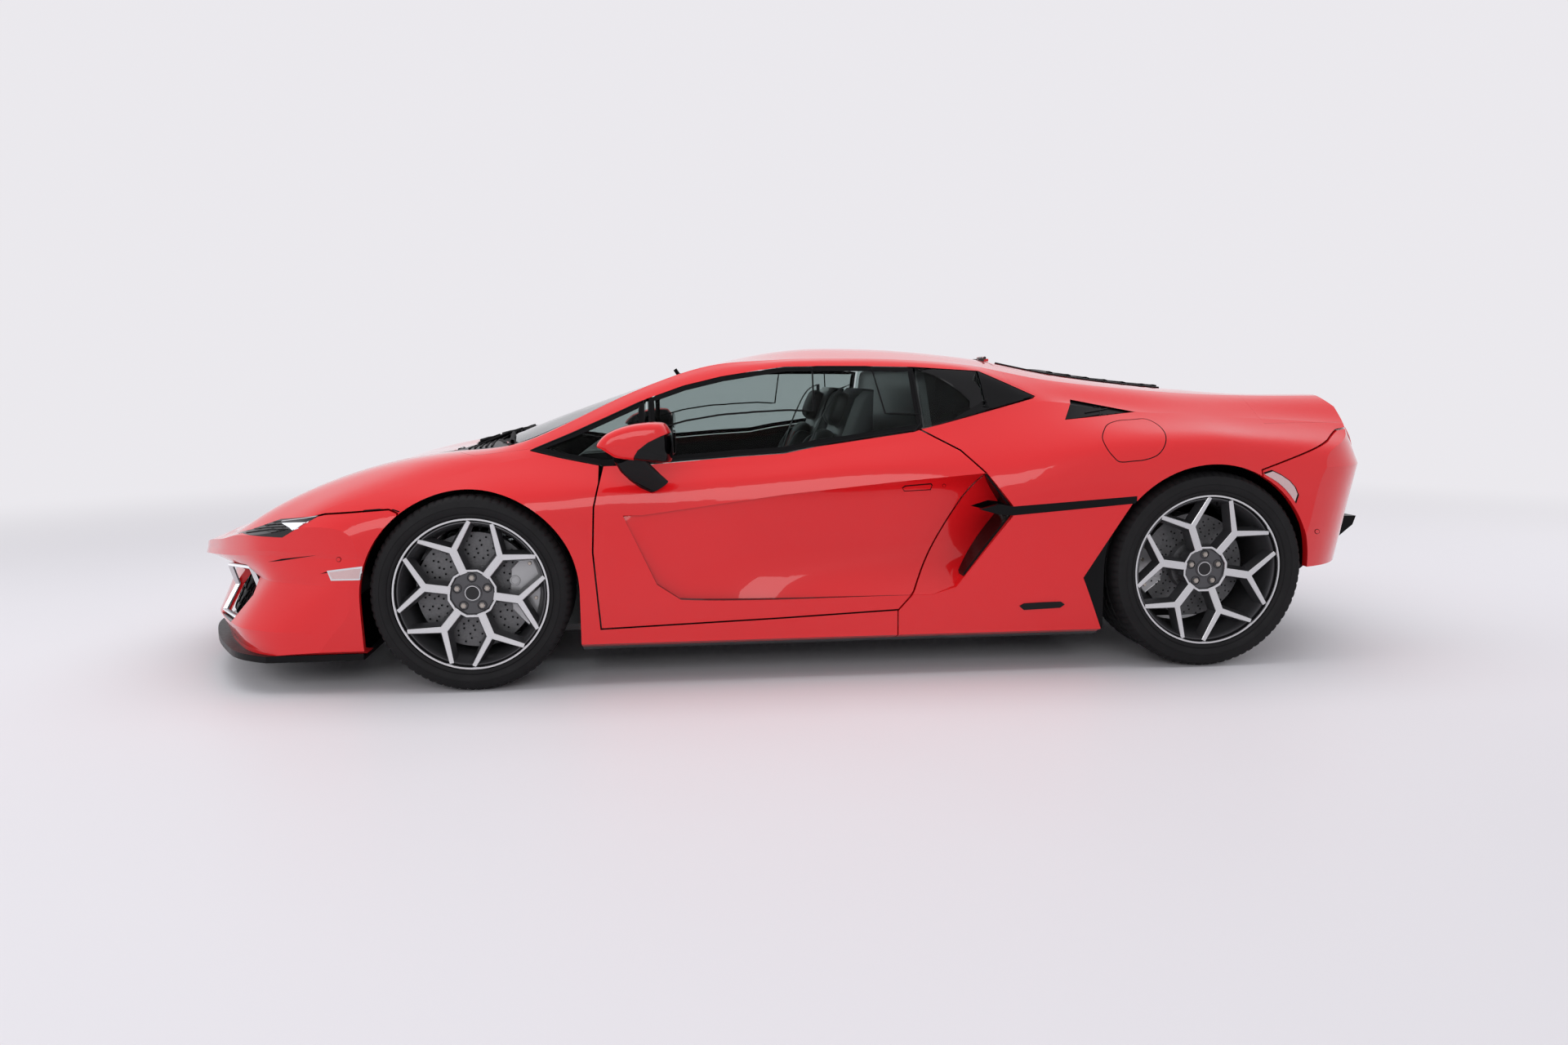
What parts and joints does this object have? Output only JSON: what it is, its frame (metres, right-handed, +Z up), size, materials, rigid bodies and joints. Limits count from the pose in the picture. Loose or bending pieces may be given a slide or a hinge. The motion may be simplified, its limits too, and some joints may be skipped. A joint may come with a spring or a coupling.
{
  "type": "supercar",
  "caption": "Low mid-engined two-seat supercar with opening doors, front bonnet and engine cover, steered front wheels and free-rolling wheels.",
  "frame": {"origin": "on the floor below the middle of the car's length and width", "axes": "+X to the tail, +Y to the car's right side, +Z up"},
  "size_m": [4.7046, 2.2456, 1.2008],
  "materials": {
    "body_paint": "gloss, bright solid red",
    "tinted_glass": "clear, lightly tinted",
    "black_trim": "satin black",
    "carbon_tub": "matt black",
    "headlamp": "gloss, dark lens with white light bars",
    "tail_lamp": "gloss, red lens",
    "exhaust_metal": "brushed, heat tinted",
    "engine_metal": "cast, matt",
    "seat_leather": "grained, black",
    "steering_leather": "smooth, black",
    "forged_metal": "forged, satin",
    "caliper_paint": "satin silver grey",
    "tyre": "matt rubber",
    "alloy": "machined bright faces, dark grey sides",
    "brake_disc": "carbon ceramic, drilled, grey"
  },
  "bodies": {
    "chassis": {"floor_pan": "carbon_tub", "inner_sills": "carbon_tub", "front_bulkhead": "carbon_tub", "rear_bulkhead": "carbon_tub", "side_sills": "body_paint", "front_fenders": "body_paint", "front_bumper": "body_paint", "front_grille": "black_trim", "front_splitter": "black_trim", "headlamps": "headlamp", "cowl": "black_trim", "windshield": "tinted_glass", "roof": "body_paint", "quarter_windows": "tinted_glass", "pillar_blades": "black_trim", "rear_quarters": "body_paint", "rear_bumper": "body_paint", "rear_grille": "black_trim", "rear_spoiler": "body_paint", "rear_diffuser": "black_trim", "tail_lamps": "tail_lamp", "exhaust": "exhaust_metal", "engine_block": "engine_metal", "seats": "seat_leather", "dashboard": "black_trim", "steering_wheel": "steering_leather", "arch_liners": "black_trim", "suspension": "forged_metal", "rear_uprights": "forged_metal", "rear_calipers": "caliper_paint", "luggage_tub": "carbon_tub", "side_blades": "black_trim", "vent_grilles": "black_trim", "side_intakes": "black_trim", "arch_flaps": "black_trim", "seat_rails": "black_trim"},
    "door_left": {"door_left": "body_paint", "door_glass_left": "tinted_glass", "mirror_left": "body_paint"},
    "door_right": {"door_right": "body_paint", "door_glass_right": "tinted_glass", "mirror_right": "body_paint"},
    "hood": {"hood": "body_paint"},
    "engine_cover": {"engine_cover": "body_paint"},
    "knuckle_left": {"knuckle_left": "forged_metal", "caliper_front_left": "caliper_paint"},
    "knuckle_right": {"knuckle_right": "forged_metal", "caliper_front_right": "caliper_paint"},
    "wheel_front_left": {"tyre_front_left": "tyre", "wheel_front_left": "alloy", "brake_disc_front_left": "brake_disc"},
    "wheel_front_right": {"tyre_front_right": "tyre", "wheel_front_right": "alloy", "brake_disc_front_right": "brake_disc"},
    "wheel_rear_left": {"tyre_rear_left": "tyre", "wheel_rear_left": "alloy", "brake_disc_rear_left": "brake_disc"},
    "wheel_rear_right": {"tyre_rear_right": "tyre", "wheel_rear_right": "alloy", "brake_disc_rear_right": "brake_disc"}
  },
  "joints": [
    {"name": "door_left_hinge", "type": "hinge", "parent": "chassis", "child": "door_left", "pos_m": [-0.712, -0.975, 0.5], "axis": [0, 0, -1], "range_deg": [0, 65]},
    {"name": "door_right_hinge", "type": "hinge", "parent": "chassis", "child": "door_right", "pos_m": [-0.712, 0.975, 0.5], "axis": [0, 0, 1], "range_deg": [0, 65]},
    {"name": "hood_hinge", "type": "hinge", "parent": "chassis", "child": "hood", "pos_m": [-1.2835, 0, 0.804], "axis": [0, 1, 0], "range_deg": [0, 60]},
    {"name": "engine_cover_hinge", "type": "hinge", "parent": "chassis", "child": "engine_cover", "pos_m": [0.8595, 0, 1.156], "axis": [0, -1, 0], "range_deg": [0, 45]},
    {"name": "steering_left", "type": "hinge", "parent": "chassis", "child": "knuckle_left", "pos_m": [-1.137, -0.804, 0.34325], "axis": [0, 0, 1], "range_deg": [-30, 30]},
    {"name": "steering_right", "type": "hinge", "parent": "chassis", "child": "knuckle_right", "pos_m": [-1.137, 0.804, 0.34325], "axis": [0, 0, 1], "range_deg": [-30, 30]},
    {"name": "wheel_front_left_spin", "type": "hinge", "parent": "knuckle_left", "child": "wheel_front_left", "pos_m": [-1.137, -0.861, 0.34325], "axis": [0, 1, 0], "continuous": true},
    {"name": "wheel_front_right_spin", "type": "hinge", "parent": "knuckle_right", "child": "wheel_front_right", "pos_m": [-1.137, 0.861, 0.34325], "axis": [0, 1, 0], "continuous": true},
    {"name": "wheel_rear_left_spin", "type": "hinge", "parent": "chassis", "child": "wheel_rear_left", "pos_m": [1.521, -0.83, 0.3642], "axis": [0, 1, 0], "continuous": true},
    {"name": "wheel_rear_right_spin", "type": "hinge", "parent": "chassis", "child": "wheel_rear_right", "pos_m": [1.521, 0.83, 0.3642], "axis": [0, 1, 0], "continuous": true}
  ],
  "couplings": [
    {"joint": "steering_right", "follows": "steering_left", "ratio": 1}
  ]
}
